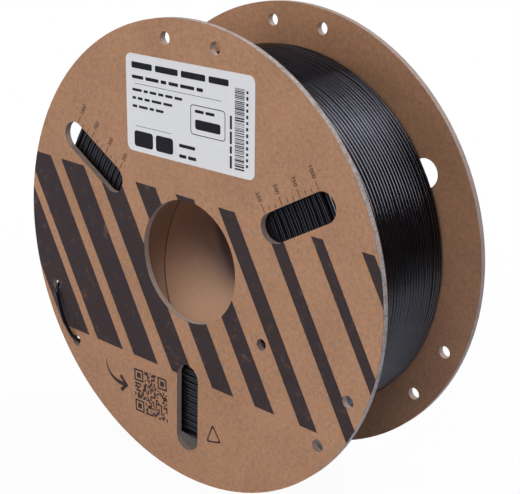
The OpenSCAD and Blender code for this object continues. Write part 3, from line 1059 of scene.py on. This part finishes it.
class SPOOL_OT_small_print(SpoolPieceOperator, bpy.types.Operator):
    """Print the gauges, the code block, the arrow and the round-cornered triangle"""

    bl_idname = "spool.small_print"
    bl_label = "Small Print"

    def execute(self, context):
        printed, board = context.scene.spool_print, context.scene.spool_board
        fine = ink_finish("fine_ink", printed.fine_ink, board.kraft, 0.38)
        bold = ink_finish("bold_ink", printed.ink, board.kraft, 0.36)
        self.gauges(printed, fine)
        pieces = {
            "front_code_block": self.code_block(printed, bold),
            "front_arrow": flat_print([self.arrow()], FRONT_Y, bold),
            "front_triangle": flat_print(self.triangle(), FRONT_Y, bold),
        }
        for name, mesh in pieces.items():
            place_piece(name, mesh, "kraft_liner")
        return {"FINISHED"}

    def gauges(self, printed, fine):
        """Marks with numbers beside the first two windows."""
        tree = gauge_tree()
        marks, numbers = [], []
        for angle, side in ((printed.slot_angle, 1.0), (printed.slot_angle + math.tau / 3, -1.0)):
            marks.append(mesh_from_tree(tree, {
                "Marks": 10, "Start": printed.gauge_start, "Step": printed.gauge_step, "Long": 0.0036,
                "Short": 0.0019, "Width": 0.00036, "Offset": 0.0067, "Slot Angle": angle, "Side": side,
                "Face Y": FRONT_Y, "Thickness": 2 * PRINT_LIFT, "Material": fine,
            }))
            for step, figures in enumerate(("250", "500", "750", "1000")):
                distance = printed.gauge_start + step * printed.gauge_step
                numbers.append(self.number(figures, angle, side, distance, fine))
        place_piece("front_gauge_marks", joined("gauge_marks", marks), "kraft_liner")
        place_piece("front_gauge_numbers", joined("gauge_numbers", numbers), "kraft_liner")

    def number(self, figures, angle, side, distance, fine):
        """A number beside a window, at a distance from the axis and with its top turned outwards."""
        aside, size, stroke = 0.0112, 0.0027, 0.00006
        words = bpy.data.curves.new("number", "FONT")
        words.body, words.size, words.offset, words.resolution_u = figures, size, stroke, 2
        words.align_x, words.align_y = "RIGHT" if side > 0 else "LEFT", "CENTER"
        mesh = flat_mesh(words, 0.0, fine, PRINT_LIFT, PRINT_LIFT)
        up = outward(angle)
        right = Vector((up.z, 0, -up.x))
        spot = up * distance - side * right * aside + Vector((0, FRONT_Y, 0))
        turn = Matrix((right, (0, 1, 0), up)).transposed().to_4x4()
        mesh.transform(Matrix.Translation(spot) @ turn)
        return mesh

    def code_block(self, printed, bold):
        """Dots and three ringed squares, which hold no data."""
        cells, corner_cells = 25, 7
        cell = printed.code_size / cells
        middle, tilt = printed.code_place, printed.code_tilt
        dots = mesh_from_tree(code_tree(), {
            "Cells": cells, "Cell": cell, "Fill": 0.5, "Corner Cells": corner_cells + 1.0, "Tilt": tilt,
            "Middle": (middle[0], FRONT_Y, middle[1]), "Thickness": 2 * PRINT_LIFT, "Seed": 11,
            "Material": bold,
        })
        reach = (cells - corner_cells) / 2 * cell
        outlines = []
        for x, z in ((-reach, reach), (reach, reach), (-reach, -reach)):
            for size in (corner_cells, corner_cells - 2, corner_cells - 4):
                shape = [(x + a, z + b) for a, b in square(size * cell)]
                outlines.append(turned_outline(shape, middle, tilt))
        return joined("code_block", [dots, flat_print(outlines, FRONT_Y, bold)])

    def arrow(self):
        """A curved arrow that grows wider towards its open head."""
        narrowest, growth, steps = 0.14, 0.92, 14
        bends = (-51.6, -59.8), (-51.2, -66.2), (-47.0, -68.9), (-40.8, -68.8)
        way = interpolate_bezier(*(Vector(bend) for bend in bends), steps)
        under, over = [], []
        for i, (spot, after) in enumerate(zip(way, way[1:])):
            run = (after - spot).normalized()
            half = Vector((run.y, -run.x)) * (narrowest + growth * i / (steps - 1))
            under.append(spot + half)
            over.append(spot - half)
        head = [
            (-40.5, -69.8), (-42.4, -71.7), (-41.2, -72.9), (-37.1, -68.6), (-41.7, -64.5), (-42.8, -65.8),
            (-40.4, -67.8),
        ]
        return [(x * MM, z * MM) for x, z in under + head + over[::-1]]

    def triangle(self):
        """A plain triangle outline with rounded corners."""
        inner, rounding, steps = 0.74, 0.2, 5
        corners = [Vector((11.4, -78.4)), Vector((20.4, -76.2)), Vector((15.0, -68.6))]
        middle = sum(corners, Vector((0, 0))) / 3
        outlines = []
        for share in (1.0, inner):
            points = [middle + (corner - middle) * share for corner in corners]
            outline = []
            for i, corner in enumerate(points):
                before = corner.lerp(points[i - 1], rounding)
                after = corner.lerp(points[(i + 1) % 3], rounding)
                for t in (k / steps for k in range(steps + 1)):
                    outline.append(before.lerp(corner, t).lerp(corner.lerp(after, t), t))
            outlines.append([(p.x * MM, p.y * MM) for p in outline])
        return outlines


def label_shapes():
    """The label's print as plain bars and boxes.

    Each is its left, top, right and bottom from the label's upper left corner, and its corners' rounding,
    in millimetres.
    """
    chance = random.Random(5)
    lowest = 38.0

    def words(left, right, top, bottom, shortest, longest, gap):
        shapes, at = [], left
        while at < right - shortest:
            wide = min(chance.uniform(shortest, longest), right - at)
            shapes.append((at, top, at + wide, bottom, (bottom - top) * 0.22))
            at += wide + gap
        return shapes

    def column(left, right, top, bottom, corner, next_height, next_gap):
        """Strokes one under another. The two functions give each stroke's height and the gap after it."""
        shapes, at = [], top
        while at < bottom:
            tall = next_height()
            shapes.append((left, at, right, min(at + tall, lowest), corner))
            at += tall + next_gap()
        return shapes

    shapes = words(3.4, 57.7, 3.3, 5.9, 7, 15, 1.8)
    shapes += words(3.5, 44, 8.8, 10.2, 3, 8, 1.3)
    shapes += [(5, 12.1, 54, 12.3, 0)]
    for top, right in ((14.2, 33), (17.6, 27), (21.0, 23)):
        shapes += words(3.6, right, top + 0.1, top + 1.2, 2, 6, 1.1)
    shapes += [(5, 29.8, 26, 30.0, 0)]
    shapes += [(4.3, 31.9, 15.3, 38.6, 1.2), (17.0, 31.9, 27.0, 38.6, 1.2)]
    shapes += words(30.5, 40, 33.1, 34.5, 9, 9, 1) + words(30.5, 40, 37.4, 38.8, 4, 5, 1)
    shapes += [(37, 15.8, 56, 28, 1.5), (37.35, 16.15, 55.65, 27.65, 1.2)]
    shapes += words(39.5, 53.5, 17.7, 18.9, 4, 8, 1.0) + [(39.6, 21.6, 53.4, 25.6, 0.9)]
    shapes += column(58.4, 59.5, 17.0, 36.5, 0.3, lambda: chance.uniform(2, 5.5), lambda: 0.8)
    shapes += column(
        61.0, 66.0, 5.8, 37.6, 0,
        lambda: chance.choice((0.22, 0.22, 0.44, 0.66)), lambda: chance.choice((0.22, 0.3, 0.5)),
    )
    shapes += column(66.9, 68.0, 6.2, 36.5, 0.3, lambda: chance.uniform(1.1, 1.5), lambda: 1.1)
    return shapes


class SPOOL_OT_label(SpoolPieceOperator, bpy.types.Operator):
    """Finish the label and print it"""

    bl_idname = "spool.label"
    bl_label = "Label"

    def execute(self, context):
        label = context.scene.spool_label
        dress(label_finish("label_paper", label), "spool_label")
        black = ink_finish("label_ink", label.ink, label.paper, 0.3)
        outlines = []
        for left, top, right, bottom, corner in label_shapes():
            outline = rounded_box(left, -bottom, right, -top, corner)
            local = [(x * MM - label.width / 2, z * MM + label.height / 2) for x, z in outline]
            outlines.append(turned_outline(local, label.centre, label.tilt))
        bars = flat_print(outlines, LABEL_Y, black, lift=0.00001, sink=0.00002)
        place_piece("label_print", bars, "label_paper")
        return {"FINISHED"}


# ---------------------------------------------------------------------------------------------
# Stage
# ---------------------------------------------------------------------------------------------


def view_axes(azimuth, elevation, roll):
    """The camera's right, up and back directions."""
    flat = math.cos(elevation)
    back = Vector((math.sin(azimuth) * flat, -math.cos(azimuth) * flat, math.sin(elevation)))
    level = Vector((math.cos(azimuth), math.sin(azimuth), 0))
    up = back.cross(level)
    right = math.cos(roll) * level + math.sin(roll) * up
    return right, -math.sin(roll) * level + math.cos(roll) * up, back


def placed(spot, axes):
    """The matrix that puts something at a spot, with its own axes along three directions."""
    return Matrix.Translation(spot) @ Matrix(axes).transposed().to_4x4()


class SPOOL_OT_stage(SpoolPieceOperator, bpy.types.Operator):
    """Set up the camera, the lamps and the floor"""

    bl_idname = "spool.stage"
    bl_label = "Stage"

    def execute(self, context):
        stage = context.scene.spool_stage
        self.camera(context.scene, stage)
        for name, panel in LIGHT_PANELS.items():
            self.panel(stage, name, *panel, mirrored=False)
        for name, panel in GLOSS_PANELS.items():
            self.panel(stage, name, *panel, mirrored=True)
        self.room(context.scene, stage)
        self.floor(stage)
        return {"FINISHED"}

    def camera(self, scene, stage):
        lens = bpy.data.cameras.new("view")
        lens.sensor_fit, lens.sensor_width, lens.lens = "HORIZONTAL", 36, stage.lens
        lens.clip_start, lens.clip_end = 0.01, 20
        camera = new_object("view", lens)
        axes = view_axes(stage.azimuth, stage.elevation, stage.roll)
        camera.matrix_world = placed(stage.camera_place, axes)
        scene.camera = camera
        scene.view_settings.view_transform = "Standard"

    def panel(self, stage, name, azimuth, elevation, width, height, mirrored):
        """A soft panel that faces the spool. It either lights the spool or is mirrored by it."""
        azimuth, elevation = math.radians(azimuth), math.radians(elevation)
        flat = outward(azimuth) * math.cos(elevation)
        away = Vector((flat.x, flat.z, math.sin(elevation)))
        level = Vector((-math.sin(azimuth), math.cos(azimuth), 0))
        light = bpy.data.lights.new(name, "AREA")
        light.shape, light.size, light.size_y = "RECTANGLE", width, height
        light.energy = math.pi * width * height * getattr(stage, name)
        lamp = new_object(name, light)
        lamp.matrix_world = placed(away * PANEL_DISTANCE, (level, away.cross(level), away))
        lamp.visible_diffuse, lamp.visible_glossy, lamp.visible_camera = not mirrored, mirrored, False
        if mirrored:
            light.color = stage.cool

    def room(self, scene, stage):
        """Even light from all round, seen as white by the camera."""
        room = bpy.data.worlds.new("room")
        room.use_nodes = True
        room.node_tree.nodes.clear()
        nodes = Nodes(room.node_tree)
        light = nodes.add("ShaderNodeBackground", {"Color": stage.shade, "Strength": stage.room})
        white = nodes.add("ShaderNodeBackground", {"Color": (1, 1, 1), "Strength": 1.0})
        both = nodes.add("ShaderNodeMixShader", {0: nodes.camera_rays(), 1: light, 2: white})
        nodes.add("ShaderNodeOutputWorld", {"Surface": both})
        scene.world = room

    def floor(self, stage):
        """A pale floor that keeps the spool's shadow and is seen as white where it is lit."""
        shape = bmesh.new()
        bmesh.ops.create_grid(shape, x_segments=1, y_segments=1, size=6)
        mesh = new_mesh("floor", shape)
        mesh.transform(Matrix.Translation((0, 0, CAD_BOX[0][2])))
        mesh.materials.append(self.floor_finish(stage))
        floor = new_object("floor", mesh)

    def floor_finish(self, stage):
        """Pale near the spool and dark far off, but shown almost white except in an oval between the rims,
        whose end towards +X and +Y is darkened as painted shade.
        """
        diagonal = 0.7071
        oval_forward, oval_sideways, oval_length, oval_width = 0.0064, 0.0090, 0.040, 0.018
        nodes = Finish("floor", {"Roughness": 0.9})
        x, y, _ = nodes.split(nodes.place)
        forward = x * diagonal + y * diagonal
        sideways = y * diagonal - x * diagonal
        from_oval = nodes.vector("ADD", nodes.point(forward, sideways, 0), (-oval_forward, -oval_sideways, 0))
        oval_lengths = nodes.vector("MULTIPLY", from_oval, (1 / oval_length, 1 / oval_width, 0))
        outside = nodes.ramp(nodes.length(oval_lengths), 1.0, 1.12)
        # Painted shade: the floor in the oval darkens towards +X and +Y, standing in for the shadow under the
        # spool.
        painted_shade_end = shaded(stage.floor_under, 0.25)
        under_colour_with_shade = nodes.mix(nodes.ramp(forward, 0.005, 0.025), stage.floor_under, painted_shade_end)
        off_middle = nodes.length(nodes.vector("ADD", nodes.place, (0.15, 0.15, 0)))
        colour = nodes.mix(nodes.ramp(off_middle, 0.45, 0.62), stage.floor, shaded(stage.floor, 0.04))
        nodes.surface("Base Color", nodes.mix(outside, under_colour_with_shade, colour))
        white = nodes.add("ShaderNodeEmission", {"Color": (1, 1, 1), "Strength": 1.0})
        whiter_outwards = nodes.ramp(nodes.length(nodes.place), 0.12, 0.4, 0.96, 1.0)
        share = nodes.camera_rays() * (outside * whiter_outwards)
        both = nodes.add("ShaderNodeMixShader", {0: share, 1: nodes.shader, 2: white})
        nodes.feed(nodes.output.inputs["Surface"], both)
        return nodes.material


# ---------------------------------------------------------------------------------------------
# Panel and registration
# ---------------------------------------------------------------------------------------------

STEPS = (
    SPOOL_OT_stage,
    SPOOL_OT_flanges,
    SPOOL_OT_core,
    SPOOL_OT_outer_turns,
    SPOOL_OT_inner_turns,
    SPOOL_OT_filament_ends,
    SPOOL_OT_small_print,
    SPOOL_OT_label,
)
SETTINGS = {
    "spool_board": SpoolBoardSettings,
    "spool_print": SpoolPrintSettings,
    "spool_winding": SpoolWindingSettings,
    "spool_label": SpoolLabelSettings,
    "spool_stage": SpoolStageSettings,
}


class SPOOL_PT_panel(bpy.types.Panel):
    """The spool's settings and steps"""

    bl_idname = "SPOOL_PT_panel"
    bl_label = "Filament Spool"
    bl_space_type = "VIEW_3D"
    bl_region_type = "UI"
    bl_category = "Spool"

    def draw(self, context):
        for step in STEPS:
            self.layout.operator(step.bl_idname)
        for name, group in SETTINGS.items():
            box = self.layout.box()
            box.label(text=group.__doc__)
            for each in group.__annotations__:
                box.prop(getattr(context.scene, name), each)


CLASSES = (*SETTINGS.values(), *STEPS, SPOOL_PT_panel)


def register():
    for each in CLASSES:
        bpy.utils.register_class(each)
    for name, group in SETTINGS.items():
        setattr(bpy.types.Scene, name, PointerProperty(type=group))


def unregister():
    for name in SETTINGS:
        delattr(bpy.types.Scene, name)
    for each in reversed(CLASSES):
        bpy.utils.unregister_class(each)


def main():
    register()
    for step in STEPS:
        group, name = step.bl_idname.split(".")
        getattr(getattr(bpy.ops, group), name)()


if __name__ == "__main__":
    main()
